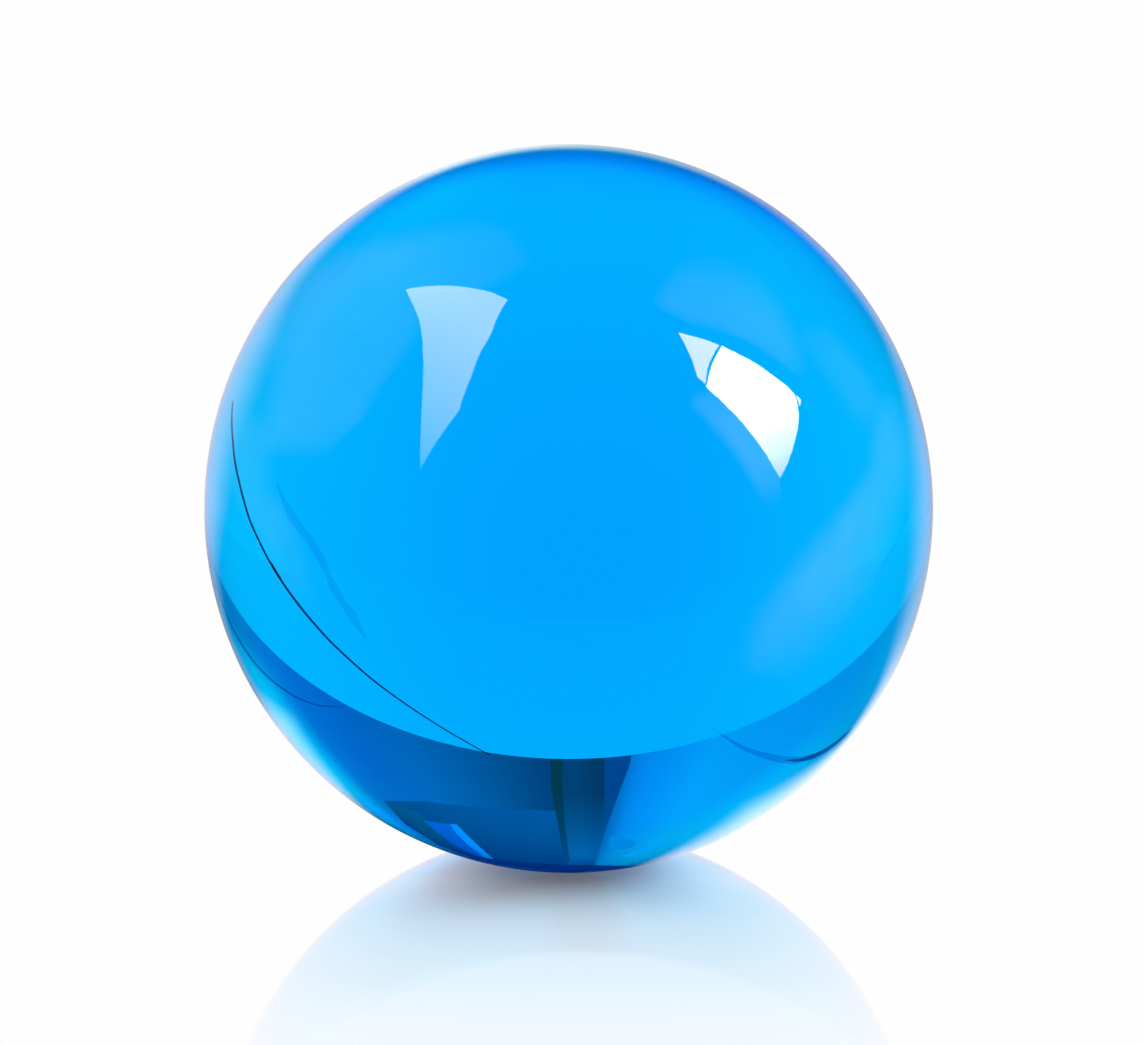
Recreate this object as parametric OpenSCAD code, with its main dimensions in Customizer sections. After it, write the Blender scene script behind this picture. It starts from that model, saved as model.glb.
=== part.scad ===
// Solid glass sphere
//
// A ball of transparent blue glass, gathered and cast in one piece, then
// ground between rotating cups and polished to a true sphere. It is solid all
// through, with no flat, bore or seam, so its diameter says all of its form.
// The ball's centre is the origin, +Z is up, and sizes are in millimetres.
// It has no rest of its own: it is set down in the rim of a ring or cup stand,
// which meets it around its lowest point.

/* [Ball] */
// Diameter of the polished ball
ball_d = 80; // [40:1:200]

/* [Hidden] */

// Sides that the round surface is drawn with in a preview
preview_sides = 144;
// Share of the colour that hides what is behind the glass in a preview
preview_opacity = 0.6;

// The ball: one polished sphere, centred on the origin
module glass_sphere() {
    color("deepskyblue", preview_opacity)
        sphere(d = ball_d, $fn = preview_sides);
}

glass_sphere();
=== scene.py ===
# %% [markdown]
# # A solid blue glass ball on a glossy white sheet
# A glass ball starts as a gob of melted coloured glass. It is pressed to a rough
# ball, cooled slowly, ground between rotating cups and polished until it is round
# to a few hundredths of a millimetre. Nothing is added to it, so the whole look
# comes from three things: the bending of light at its skin, the blue that the
# light picks up on its way through, and the studio that stands around it.
# This lesson makes the ball, its glass, and then that studio.

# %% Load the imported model
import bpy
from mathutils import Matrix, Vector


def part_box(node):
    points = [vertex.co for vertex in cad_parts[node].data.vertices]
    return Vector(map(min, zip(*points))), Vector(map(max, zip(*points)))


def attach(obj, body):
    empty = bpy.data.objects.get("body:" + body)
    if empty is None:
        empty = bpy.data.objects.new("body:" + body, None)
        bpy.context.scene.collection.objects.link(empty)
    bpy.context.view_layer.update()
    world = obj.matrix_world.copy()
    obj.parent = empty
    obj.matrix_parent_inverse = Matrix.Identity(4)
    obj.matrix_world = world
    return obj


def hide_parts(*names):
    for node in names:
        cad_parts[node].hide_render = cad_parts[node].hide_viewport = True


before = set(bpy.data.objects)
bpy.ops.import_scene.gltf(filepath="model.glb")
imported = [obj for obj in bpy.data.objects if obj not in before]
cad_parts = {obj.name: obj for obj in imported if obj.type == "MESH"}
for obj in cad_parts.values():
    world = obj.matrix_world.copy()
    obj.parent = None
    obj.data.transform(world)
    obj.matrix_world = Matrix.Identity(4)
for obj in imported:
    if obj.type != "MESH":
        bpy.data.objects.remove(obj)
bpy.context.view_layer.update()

# %% Modules
import math
import random

import bmesh
import bpy
from mathutils import Matrix, Vector

# %% [markdown]
# ## Sizes
# Every length in the studio is given in ball radii, because a photographer sets
# up a small studio by the size of the thing in it. The radius comes from the CAD
# node, and the sheet that the ball stands on touches the node's lowest point.

# %% The ball's radius and the height of the sheet
low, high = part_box("glass_sphere")
RADIUS = (high.z - low.z) / 2
CENTRE = (high + low) / 2
CENTRE.x = CENTRE.y = 0.0
SHEET_Z = low.z
print(f"radius {RADIUS * 1000:.2f} mm, sheet at z = {SHEET_Z * 1000:.2f} mm")


def radii(*amounts):
    """A point or a length, given in ball radii, in metres."""
    metres = [amount * RADIUS for amount in amounts]
    return metres[0] if len(metres) == 1 else Vector(metres)


# %% [markdown]
# ## Colours and nodes
# A colour is written the way a paint program shows it, as an sRGB hex value. The
# renderer counts light instead, so one function turns the hex value to linear.
# Another small function adds a node with its settings and its links, so that each
# material below reads as a short list.

# %% One function for colours, one for nodes
def linear(hex_value, alpha=1.0):
    """An sRGB hex colour such as '#00F2FF' as linear red, green, blue, alpha."""
    shares = [int(hex_value[i:i + 2], 16) / 255 for i in (1, 3, 5)]
    light = [s / 12.92 if s <= 0.04045 else ((s + 0.055) / 1.055) ** 2.4 for s in shares]
    return (*light, alpha)


def add(tree, kind, settings=None, **sockets):
    """Adds a node. A socket is named s_0, s_1 ... by its number, or by its name."""
    made = tree.nodes.new("ShaderNode" + kind)
    for key, value in (settings or {}).items():
        setattr(made, key, value)
    for key, value in sockets.items():
        name = int(key[2:]) if key.startswith("s_") else key.replace("_", " ")
        if isinstance(value, bpy.types.NodeSocket):
            tree.links.new(value, made.inputs[name])
        else:
            made.inputs[name].default_value = value
    return made


def new_material(name):
    """An empty material with its output node."""
    material = bpy.data.materials.new(name)
    material.use_nodes = True
    material.node_tree.nodes.clear()
    return material, material.node_tree, add(material.node_tree, "OutputMaterial")


MIDDLE_GREY = "#808080"
print("middle grey,", MIDDLE_GREY, "is", round(linear(MIDDLE_GREY)[0], 3), "of the light of white")

# %% [markdown]
# ## The camera
# The camera looks down at the ball by about sixteen degrees through a long lens,
# from twelve radii away. Long lenses are usual for a small product: they keep a
# round thing round. The camera comes first because the studio is then set by it,
# the way a photographer moves a lamp while looking at its image in the glass.

# %% The camera and its line of sight
FRAME_WIDTH, FRAME_HEIGHT = 1143, 1045
FOCAL_PIXELS = 4497.05
DISTANCE = 12.3814
HEIGHT_ANGLE = math.radians(15.7001)
PITCH = math.radians(15.8774)
YAW = math.radians(0.03766)
SENSOR_MM = 36.0
CLIP_METRES = (0.01, 100.0)

EYE = CENTRE + radii(0, -DISTANCE * math.cos(HEIGHT_ANGLE), DISTANCE * math.sin(HEIGHT_ANGLE))
FORWARD = Vector((math.sin(YAW) * math.cos(PITCH), math.cos(YAW) * math.cos(PITCH), -math.sin(PITCH)))
RIGHT = FORWARD.cross(Vector((0, 0, 1))).normalized()
UP = RIGHT.cross(FORWARD)

camera_data = bpy.data.cameras.new("camera")
camera_data.sensor_width = SENSOR_MM
camera_data.lens = FOCAL_PIXELS * SENSOR_MM / FRAME_WIDTH
camera_data.clip_start, camera_data.clip_end = CLIP_METRES
camera = bpy.data.objects.new("camera", camera_data)
bpy.context.scene.collection.objects.link(camera)
bpy.context.scene.camera = camera
turn = Matrix((RIGHT, UP, -FORWARD)).transposed().to_4x4()
camera.matrix_world = Matrix.Translation(EYE) @ turn
print(f"lens {camera_data.lens:.1f} mm, {DISTANCE:.1f} radii from the ball")


def line_of_sight(x, y):
    """The direction in which the camera looks through a pixel of its frame."""
    across = (x - FRAME_WIDTH / 2) * RIGHT
    down = (y - FRAME_HEIGHT / 2) * UP
    return (FORWARD * FOCAL_PIXELS + across - down).normalized()


# %% [markdown]
# ## The ball
# A real ball has no seam, no flat and no pole, and any direction on it is like any
# other. A mesh ball made of rings would have two poles, where glass shows every
# uneven facet. An icosphere has none: it starts as twenty equal triangles, and
# each round of splitting puts its new corners back on the sphere. Blender counts
# the unsplit ball as one, so seven here means six rounds. They give facets two
# thirds of a millimetre across, and smooth shading does the rest.

# %% The ball's mesh
SUBDIVISIONS = 7

bm = bmesh.new()
bmesh.ops.create_icosphere(bm, subdivisions=SUBDIVISIONS, radius=RADIUS)
bmesh.ops.translate(bm, verts=bm.verts, vec=CENTRE)
for face in bm.faces:
    face.smooth = True
triangles = len(bm.faces)
volume = bm.calc_volume()
ball_mesh = bpy.data.meshes.new("blue_glass_ball")
bm.to_mesh(ball_mesh)
bm.free()

ball = bpy.data.objects.new("blue_glass_ball", ball_mesh)
bpy.context.scene.collection.objects.link(ball)
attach(ball, "root")
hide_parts("glass_sphere")
print(f"ball: {triangles} triangles, {volume * 1e6:.2f} cm3 of glass")

# %% [markdown]
# ## The glass
# Ordinary soda-lime crown glass bends light by an index of 1.52. The blue is not
# on the skin: metal oxides are melted into the whole ball, and they take out light
# bit by bit along the way. Red is gone within three or four centimetres, about a
# third of the green is left after crossing the ball, and blue passes freely. So
# the skin is given no colour at all, and an absorbing volume fills the inside.
# The last polish leaves the skin almost perfect. What is left is a faint haze in
# patches a few millimetres wide, where the polishing cup wore less evenly.

# %% The glass of the ball
GLASS_IOR = 1.52
GLASS_COLOUR = "#00F2FF"
GLASS_DENSITY = 110.0
HAZE_LEAST, HAZE_MOST = 0.012, 0.022
HAZE_PATCH_MM = 6.0
HAZE_DETAIL = 3.0

blue_glass, tree, output = new_material("polished_blue_soda_lime_glass")
place = add(tree, "TexCoord")
haze = add(
    tree,
    "TexNoise",
    Vector=place.outputs["Object"],
    Scale=1000 / HAZE_PATCH_MM,
    Detail=HAZE_DETAIL,
)
roughness = add(tree, "MapRange", Value=haze.outputs["Fac"], To_Min=HAZE_LEAST, To_Max=HAZE_MOST)
skin = add(
    tree,
    "BsdfPrincipled",
    Base_Color=(1, 1, 1, 1),
    Roughness=roughness.outputs["Result"],
    IOR=GLASS_IOR,
    Transmission_Weight=1.0,
)
inside = add(tree, "VolumeAbsorption", Color=linear(GLASS_COLOUR), Density=GLASS_DENSITY)
tree.links.new(skin.outputs["BSDF"], output.inputs["Surface"])
tree.links.new(inside.outputs["Volume"], output.inputs["Volume"])
ball.data.materials.append(blue_glass)
left = [math.exp(-GLASS_DENSITY * (1 - c) * 2 * RADIUS) for c in linear(GLASS_COLOUR)[:3]]
print("share of red, green, blue left after one crossing:", [round(c, 3) for c in left])

# %% [markdown]
# ## Setting a studio by its image in the glass
# A photographer moves a lamp while watching its image in the ball, and these
# functions do the same sum. The first finds where a line of sight meets the ball.
# From there one follows it as the skin mirrors it, which is how a lamp is seen.
# Another follows it through the glass, bent once on the way in and once on the way
# out, which is how the room behind is seen.

# %% A line of sight at the ball, mirrored and bent
def meet_ball(x, y):
    """Where the line of sight through a pixel meets the ball, and its direction."""
    ray = line_of_sight(x, y)
    to_eye = EYE - CENTRE
    half = to_eye.dot(ray)
    inside_root = max(half * half - to_eye.dot(to_eye) + RADIUS * RADIUS, 0.0)
    return EYE + ray * (-half - math.sqrt(inside_root)), ray


def bend(ray, normal, ratio):
    """Snell's law. The ratio is the index before the skin over the one after it."""
    facing = -ray.dot(normal)
    kept = 1 - ratio * ratio * (1 - facing * facing)
    return ratio * ray + (ratio * facing - math.sqrt(max(kept, 0.0))) * normal


def mirrored(x, y):
    """Where the line of sight meets the ball, and where it goes from there."""
    point, ray = meet_ball(x, y)
    normal = (point - CENTRE).normalized()
    return point, ray - 2 * ray.dot(normal) * normal


def through(x, y):
    """Where the line of sight leaves the ball behind, and where it then goes."""
    point, ray = meet_ball(x, y)
    within = bend(ray, (point - CENTRE).normalized(), 1 / GLASS_IOR)
    point = point - 2 * (point - CENTRE).dot(within) * within
    return point, bend(within, (CENTRE - point).normalized(), GLASS_IOR)


def azimuth_elevation(ray):
    """Degrees to the right of straight back, and degrees above level."""
    return math.degrees(math.atan2(ray.x, ray.y)), math.degrees(math.asin(ray.z))


CARD_LINE, LEFT_IMAGE, RIGHT_IMAGE = (569, 765), (440, 350), (745, 400)
for spot in (CARD_LINE, LEFT_IMAGE, RIGHT_IMAGE):
    past_glass = [round(a) for a in azimuth_elevation(through(*spot)[1])]
    off_skin = [round(a) for a in azimuth_elevation(mirrored(*spot)[1])]
    print(spot, "through the glass", past_glass, "off the skin", off_skin)

# %% [markdown]
# ## Flat panels
# A lamp's cloth, a card or a stretch of wall is flat, so each is a single face. Its
# corners are where lines of sight come down on its plane. A side that looks
# straight in the ball is curved on the plane, so it is cut into short pieces.

# %% Flat panels traced onto a plane
def split_outline(outline, pieces):
    """An outline with each of its straight sides cut into some pieces."""
    points = []
    for (x0, y0), (x1, y1) in zip(outline, outline[1:] + outline[:1]):
        for i in range(pieces):
            share = i / pieces
            points.append((x0 + (x1 - x0) * share, y0 + (y1 - y0) * share))
    return points


def on_plane(start, ray, origin, normal):
    """Where a line from start meets the plane at origin."""
    return start + ray * ((origin - start).dot(normal) / ray.dot(normal))


def flat_panel(name, points, material):
    """A stage panel with one flat face through these points, hidden from the camera."""
    bm = bmesh.new()
    bm.faces.new([bm.verts.new(point) for point in points])
    mesh = bpy.data.meshes.new(name)
    bm.to_mesh(mesh)
    bm.free()
    panel = bpy.data.objects.new(name, mesh)
    bpy.context.scene.collection.objects.link(panel)
    panel.data.materials.append(material)
    panel.visible_camera = False
    return panel


UNIT_SQUARE = [(0, 0), (1, 0), (1, 1), (0, 1)]
print("a square with its sides halved:", split_outline(UNIT_SQUARE, 2))

# %% [markdown]
# ## What each ray finds
# The studio is pale below and dark above, as it is round a shooting table. A
# light of 1 is white. Six kinds of ray ask for it: the camera's own, the ball's
# mirror image of the room, that image as the sheet mirrors it, the sheet's own
# mirror image, the view through the ball, and that view as the sheet mirrors it.
# The Light Path node tells them apart by how often a mirror has turned them, and
# each material below names the light that each kind finds.

# %% A light for each kind of ray
MULTIPLY = {"operation": "MULTIPLY"}
COLOURS = {"data_type": "RGBA"}


def light_for(tree, **lights):
    """The light that each kind of ray finds; kinds not named find plain white."""
    path = add(tree, "LightPath")
    turned = path.outputs["Glossy Depth"]
    off_skin = path.outputs["Is Reflection Ray"]
    in_glass = path.outputs["Is Transmission Ray"]
    once = add(tree, "Math", {"operation": "MINIMUM"}, s_0=turned, s_1=1.0).outputs[0]
    twice = add(tree, "Math", {"operation": "GREATER_THAN"}, s_0=turned, s_1=1.5).outputs[0]
    flags = {
        "camera": path.outputs["Is Camera Ray"],
        "ball_mirror": off_skin,
        "second_mirror": add(tree, "Math", MULTIPLY, s_0=twice, s_1=off_skin).outputs[0],
        "sheet_mirror": path.outputs["Is Singular Ray"],
        "through": in_glass,
        "mirror_through": add(tree, "Math", MULTIPLY, s_0=once, s_1=in_glass).outputs[0],
    }
    found = (1, 1, 1, 1)
    for ray in flags:
        if ray in lights:
            light = lights[ray]
            light = (light, light, light, 1) if isinstance(light, float) else light
            found = add(tree, "Mix", COLOURS, s_0=flags[ray], s_6=found, s_7=light).outputs[2]
    return found


def set_stops(ramp_node, stops):
    """Sets a colour ramp from rows of position, green and blue, with red as green."""
    elements = ramp_node.color_ramp.elements
    while len(elements) < len(stops):
        elements.new(0.5)
    for element, (position, green, blue) in zip(elements, stops):
        element.position = position
        element.color = (green, green, blue, 1)
    return ramp_node.outputs["Color"]


print("a light for each of six kinds of ray")

# %% [markdown]
# ## The sheet as the ball shows it
# The ball stands on a sheet of glossy white acrylic. Seen through the ball, it is a
# little brighter than white where the ball gathers light onto it. One table gives
# that light by the distance from the ball. A second gives it by the side that a
# spot lies on, from -1 at the left to 1 at the right, and fades out under the ball
# and in front of it. A third adds to the two sides close by.

# %% The light on the sheet, seen through the ball
WHITE = 0.991
GATHERED_TO = 10.0
GATHERED = [
    (0.00, 0.90, 1.05),
    (0.76, 0.95, 1.15),
    (0.87, 2.10, 1.45),
    (0.95, 1.75, 1.45),
    (1.00, 1.22, 1.44),
    (1.05, 0.84, 1.42),
    (1.12, 0.90, 1.50),
    (1.20, 1.04, 1.52),
    (1.30, 1.12, 1.40),
    (1.40, 1.13, 1.28),
    (1.50, 1.14, 1.20),
    (1.70, 1.15, 1.13),
    (2.50, 1.13, 1.07),
    (3.80, 1.095, 1.07),
    (5.50, 1.075, 1.07),
    (6.30, 1.08, 1.07),
    (6.80, 1.10, 1.07),
    (8.50, 1.08, 1.06),
    (10.0, 1.01, 1.00),
]
BY_SIDE = [
    (-1.00, 1.66, 1.62),
    (-0.85, 1.48, 1.43),
    (-0.75, 1.38, 1.31),
    (-0.65, 1.29, 1.24),
    (-0.57, 1.20, 1.18),
    (-0.48, 1.12, 1.13),
    (-0.38, 1.09, 1.07),
    (-0.28, 1.05, 1.02),
    (-0.10, 0.95, 1.00),
    (0.05, 0.96, 1.00),
    (0.20, 1.02, 1.01),
    (0.40, 1.07, 1.06),
    (0.50, 1.13, 1.08),
    (0.60, 1.24, 1.11),
    (0.70, 1.31, 1.16),
    (0.85, 1.42, 1.29),
    (1.00, 1.54, 1.47),
]
SIDES_FROM, SIDES_FULL = 0.50, 0.87
SIDES_FRONT, SIDES_BACK = -0.45, -0.10
NEAR_BY, NEAR_TO, NEAR_HALF = 1.58, 1.16, 1.2
NEAR_SIDE = [
    (-1.00, 1.10, 1.14),
    (-0.60, 1.12, 1.10),
    (-0.38, 1.00, 1.00),
    (0.08, 1.00, 1.00),
    (0.25, 1.32, 1.02),
    (0.60, 1.45, 1.04),
    (0.85, 1.45, 1.04),
    (1.15, 1.04, 1.00),
]

sheet_finish, tree, output = new_material("glossy_white_acrylic_sheet")
place = add(tree, "TexCoord")
in_radii = add(tree, "VectorMath", {"operation": "SCALE"}, s_0=place.outputs["Object"], Scale=1 / RADIUS)
flat = add(tree, "VectorMath", MULTIPLY, s_0=in_radii.outputs[0], s_1=(1, 1, 0))
from_ball = add(tree, "VectorMath", {"operation": "LENGTH"}, s_0=flat.outputs[0])
share_out = add(tree, "Math", MULTIPLY, s_0=from_ball.outputs["Value"], s_1=1 / GATHERED_TO)
stops = [(r / GATHERED_TO, g, b) for r, g, b in GATHERED]
gathered = set_stops(add(tree, "ValToRGB", s_0=share_out.outputs[0]), stops)
apart = add(tree, "SeparateXYZ", s_0=in_radii.outputs[0])
radius_here = from_ball.outputs["Value"]
sideways = add(tree, "Math", {"operation": "DIVIDE"}, s_0=apart.outputs["X"], s_1=radius_here)
side_share = add(tree, "MapRange", Value=sideways.outputs[0], From_Min=-1.0)
stops = [(x / 2 + 0.5, g, b) for x, g, b in BY_SIDE]
by_side = set_stops(add(tree, "ValToRGB", s_0=side_share.outputs[0]), stops)
outside = add(tree, "MapRange", Value=radius_here, From_Min=SIDES_FROM, From_Max=SIDES_FULL)
toward_back = add(tree, "Math", {"operation": "DIVIDE"}, s_0=apart.outputs["Y"], s_1=radius_here)
toward_back = add(
    tree,
    "MapRange",
    Value=toward_back.outputs[0],
    From_Min=SIDES_FRONT,
    From_Max=SIDES_BACK,
)
outside = add(tree, "Math", MULTIPLY, s_0=outside.outputs[0], s_1=toward_back.outputs[0])
by_side = add(tree, "Mix", COLOURS, s_0=outside.outputs[0], s_6=(1, 1, 1, 1), s_7=by_side)
seen_through = add(tree, "VectorMath", MULTIPLY, s_0=gathered, s_1=by_side.outputs[2])
across = add(tree, "MapRange", Value=apart.outputs["X"], From_Min=-NEAR_HALF, From_Max=NEAR_HALF)
stops = [(x / NEAR_HALF / 2 + 0.5, g, b) for x, g, b in NEAR_SIDE]
near_side = set_stops(add(tree, "ValToRGB", s_0=across.outputs[0]), stops)
near = add(tree, "MapRange", Value=radius_here, From_Min=NEAR_BY, From_Max=NEAR_TO)
near_side = add(tree, "Mix", COLOURS, s_0=near.outputs[0], s_6=(1, 1, 1, 1), s_7=near_side)
seen_through = add(
    tree,
    "VectorMath",
    MULTIPLY,
    s_0=seen_through.outputs[0],
    s_1=near_side.outputs[2],
)
found = light_for(tree, camera=WHITE, through=seen_through.outputs[0])
white = add(tree, "Emission", Color=found)
print("sheet seen through the ball:", len(GATHERED), "distances,", len(BY_SIDE), "sides")

# %% [markdown]
# ## The sheet as a mirror
# Close to the ball no light reaches the sheet from above, so it is dark there and
# shows the ball's underside as a mirror does. Further out its own white takes over.
# The shadow is painted: it and the mirror image fade together, and one table gives
# how much of them is left, more slowly to the sides than to the front. The ball also
# throws a paler patch of light onto the sheet in front of itself, painted here too,
# and its curved edge is just visible.

# %% The painted shadow and the mirror image, and how they fade
FADE_FAR = 3.0
FADE_SIDEWAYS, FADE_SIDEWAYS_NEAR = 0.45, 0.95
FADE_NEAR_END, FADE_NEAR_START = 0.48, 0.25
SHADOW_AND_MIRROR_LEFT = [
    (0.00, 1.00),
    (0.24, 0.86),
    (0.32, 0.745),
    (0.39, 0.64),
    (0.48, 0.52),
    (0.58, 0.43),
    (0.70, 0.375),
    (0.80, 0.33),
    (0.92, 0.28),
    (1.03, 0.245),
    (1.12, 0.20),
    (1.25, 0.16),
    (1.39, 0.123),
    (1.80, 0.06),
    (3.00, 0.00),
]
PATCH_EDGE, PATCH_CURVE, PATCH_ASIDE = 0.77, 1.3, 0.05
PATCH_SOFT, PATCH_SHARE = 0.02, 0.84

squeeze = add(
    tree,
    "MapRange",
    Value=apart.outputs["Y"],
    From_Min=-FADE_NEAR_END,
    From_Max=-FADE_NEAR_START,
    To_Min=FADE_SIDEWAYS,
    To_Max=FADE_SIDEWAYS_NEAR,
)
squeeze = add(tree, "CombineXYZ", s_0=squeeze.outputs[0], s_1=1.0)
squeezed = add(tree, "VectorMath", MULTIPLY, s_0=in_radii.outputs[0], s_1=squeeze.outputs[0])
fade_length = add(tree, "VectorMath", {"operation": "LENGTH"}, s_0=squeezed.outputs[0])
fade_length = add(tree, "MapRange", Value=fade_length.outputs["Value"], From_Max=FADE_FAR)
stops = [(r / FADE_FAR, share, share) for r, share in SHADOW_AND_MIRROR_LEFT]
fade = set_stops(add(tree, "ValToRGB", s_0=fade_length.outputs[0]), stops)
aside = add(tree, "Math", {"operation": "SUBTRACT"}, s_0=apart.outputs["X"], s_1=PATCH_ASIDE)
aside = add(tree, "Math", MULTIPLY, s_0=aside.outputs[0], s_1=aside.outputs[0])
aside = add(tree, "Math", MULTIPLY, s_0=aside.outputs[0], s_1=PATCH_CURVE)
ahead = add(tree, "Math", {"operation": "ADD"}, s_0=apart.outputs["Y"], s_1=aside.outputs[0])
patch = add(
    tree,
    "MapRange",
    Value=ahead.outputs[0],
    From_Min=-PATCH_EDGE + PATCH_SOFT,
    From_Max=-PATCH_EDGE - PATCH_SOFT,
    To_Min=1.0,
    To_Max=PATCH_SHARE,
)
# One amount gives the painted shadow and the mirror image, less of both in the painted paler patch.
shadow_and_mirror_share = add(tree, "Math", MULTIPLY, s_0=fade, s_1=patch.outputs[0])
path = add(tree, "LightPath")
shadow_and_mirror_share = add(
    tree,
    "Math",
    MULTIPLY,
    s_0=shadow_and_mirror_share.outputs[0],
    s_1=path.outputs["Is Camera Ray"],
)
mirror = add(tree, "BsdfGlossy", Color=(1, 1, 1, 1), Roughness=0.0)
surface = add(tree, "MixShader", s_0=shadow_and_mirror_share.outputs[0], s_1=white.outputs[0], s_2=mirror.outputs[0])
tree.links.new(surface.outputs[0], output.inputs["Surface"])
print("the mirror image fades over", FADE_FAR, "radii")

# %% [markdown]
# ## The sheet itself
# The sheet is a single flat face, made as a grid of one cell. It is far wider than
# a real one, so that its edges are never seen.

# %% The glossy white sheet
SHEET_HALF = 60.0

bm = bmesh.new()
bmesh.ops.create_grid(bm, x_segments=1, y_segments=1, size=radii(SHEET_HALF))
bmesh.ops.translate(bm, verts=bm.verts, vec=(0, 0, SHEET_Z))
sheet_mesh = bpy.data.meshes.new("sheet")
bm.to_mesh(sheet_mesh)
bm.free()
sheet = bpy.data.objects.new("sheet", sheet_mesh)
bpy.context.scene.collection.objects.link(sheet)
sheet.data.materials.append(sheet_finish)
sheet.visible_glossy = False
print("sheet made,", SHEET_HALF * 2, "radii wide")

# %% [markdown]
# ## The white card behind
# A white card stands on the sheet behind the ball. Its straight top edge is what
# draws the curved line across the lower part of the ball: the glass turns the
# view upside down, so the dark room above the card is seen below it.

# %% The card
CARD_BACK = 8.5
CARD_TOP = 2.45
CARD_HALF = 30.0
CARD_MIDDLE, CARD_ENDS = 1.5, 16.0
CARD_MIDDLE_LIGHT = (1.10, 1.10, 1.08, 1)
CARD_END_LIGHT = (1.55, 1.55, 1.38, 1)

card_finish, tree, output = new_material("matt_white_card")
place = add(tree, "TexCoord")
apart = add(tree, "SeparateXYZ", s_0=place.outputs["Object"])
aside = add(tree, "Math", {"operation": "ABSOLUTE"}, s_0=apart.outputs["X"])
to_end = add(
    tree,
    "MapRange",
    Value=aside.outputs[0],
    From_Min=radii(CARD_MIDDLE),
    From_Max=radii(CARD_ENDS),
)
by_side = add(
    tree,
    "Mix",
    COLOURS,
    s_0=to_end.outputs[0],
    s_6=CARD_MIDDLE_LIGHT,
    s_7=CARD_END_LIGHT,
)
white = add(tree, "Emission", Color=light_for(tree, through=by_side.outputs[2]))
tree.links.new(white.outputs[0], output.inputs["Surface"])
card_corners = []
for x, z in ((-CARD_HALF, 0), (CARD_HALF, 0), (CARD_HALF, CARD_TOP), (-CARD_HALF, CARD_TOP)):
    card_corners.append(radii(x, CARD_BACK, 0) + Vector((0, 0, SHEET_Z + radii(z))))
card = flat_panel("card", card_corners, card_finish)
card.visible_glossy = False
print("card", CARD_BACK, "radii behind the ball,", CARD_TOP, "radii high")

# %% [markdown]
# ## Two softboxes
# Two lamps with white cloth fronts stand high at the sides, in front of the ball.
# Polished glass mirrors only one part in twenty of what faces it, so a lamp must
# be some twenty times brighter than white card to show as white. Each outline is
# traced from the lamp's image in the ball back to the plane of the lamp's cloth.
# A dark seam crosses the right lamp, so its cloth is made in separate pieces.

# %% The softboxes
LAMP_DISTANCE = 22.0


def lamp_cloth(name, foot_light, head_light, foot, head):
    """The cloth of a softbox: brightest near the flash tube, dimmer towards its foot."""
    material, tree, output = new_material(name)
    place = add(tree, "TexCoord")
    apart = add(tree, "SeparateXYZ", s_0=place.outputs["Object"])
    share = add(
        tree,
        "MapRange",
        Value=apart.outputs["Z"],
        From_Min=radii(foot),
        From_Max=radii(head),
    )
    light = add(
        tree,
        "Mix",
        COLOURS,
        s_0=share.outputs[0],
        s_6=(*foot_light, 1),
        s_7=(*head_light, 1),
    )
    cloth = add(tree, "Emission", Color=light.outputs[2])
    tree.links.new(cloth.outputs[0], output.inputs["Surface"])
    return material


def softbox(name, outline, material):
    """A lamp whose mirror image in the ball fills this outline."""
    paths = [mirrored(x, y) for x, y in split_outline(outline, 2)]
    middle = sum((ray for _, ray in paths), Vector()).normalized()
    origin = CENTRE + middle * radii(LAMP_DISTANCE)
    points = [on_plane(point, ray, origin, middle) for point, ray in paths]
    lamp = flat_panel(name, points, material)
    lamp.visible_transmission = False
    low_end, *_, high_end = sorted(point.z / RADIUS for point in points)
    faces = [round(angle) for angle in azimuth_elevation(middle)]
    print(name, "at", faces, f"degrees, {low_end:.1f} to {high_end:.1f} radii high")


# %% The lamps by their images
LEFT_LAMP = [
    (406, 289.2), (419, 286.9), (431, 285.9), (443, 285.7), (455, 285.9), (467, 287.2), (479, 289.2),
    (491, 292.1), (503, 296.9), (508.2, 299.3), (501.2, 310), (496.1, 320), (492.9, 330), (487.7, 340),
    (481.4, 350), (477.2, 360), (469.8, 380), (462, 400), (459.7, 410), (451.9, 420), (437.7, 440),
    (425.3, 460), (420.2, 470), (420.4, 445), (421.2, 420), (422.7, 390), (423.6, 365), (422.6, 340),
    (419.3, 320), (415.5, 310), (410.7, 300),
]
RIGHT_LAMP_SMALL = [
    (678.4, 332.4), (690, 335.2), (700, 338), (710, 341.2), (719, 345), (711, 359), (707.2, 370),
    (705.8, 383.8), (697.6, 377.2), (692.2, 360), (685.5, 345),
]
RIGHT_LAMP = [
    (721.6, 345.6), (730, 349.8), (742, 355.7), (754, 362.3), (766, 370.3), (778, 379.1), (788, 387.2),
    (794, 393.6), (796.8, 401), (798.4, 408), (799, 415), (797.8, 428), (793.5, 447), (787.5, 464),
    (780.3, 478), (774, 467.8), (766, 454.1), (754, 437.1), (742, 422.2), (730, 409.4), (718, 397.6),
    (706.4, 387.4), (709, 374), (714, 360),
]
RIGHT_LAMP_END = [(795.8, 394.2), (801.2, 399.8), (800, 406.8), (798.2, 401)]
DIM_LEFT, BRIGHT_LEFT = (0.3, 2.2, 2.6), (7.4, 6.0, 7.5)
DIM_RIGHT, BRIGHT_RIGHT = (7.6, 4.7, 6.5), (26.0, 24.0, 24.0)
EVEN_RIGHT = (13.7, 10.2, 10.2)
left_cloth = lamp_cloth("softbox_cloth_left", DIM_LEFT, BRIGHT_LEFT, foot=8.0, head=20.0)
small_cloth = lamp_cloth("softbox_cloth_right_small", EVEN_RIGHT, EVEN_RIGHT, foot=8.0, head=20.0)
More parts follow.
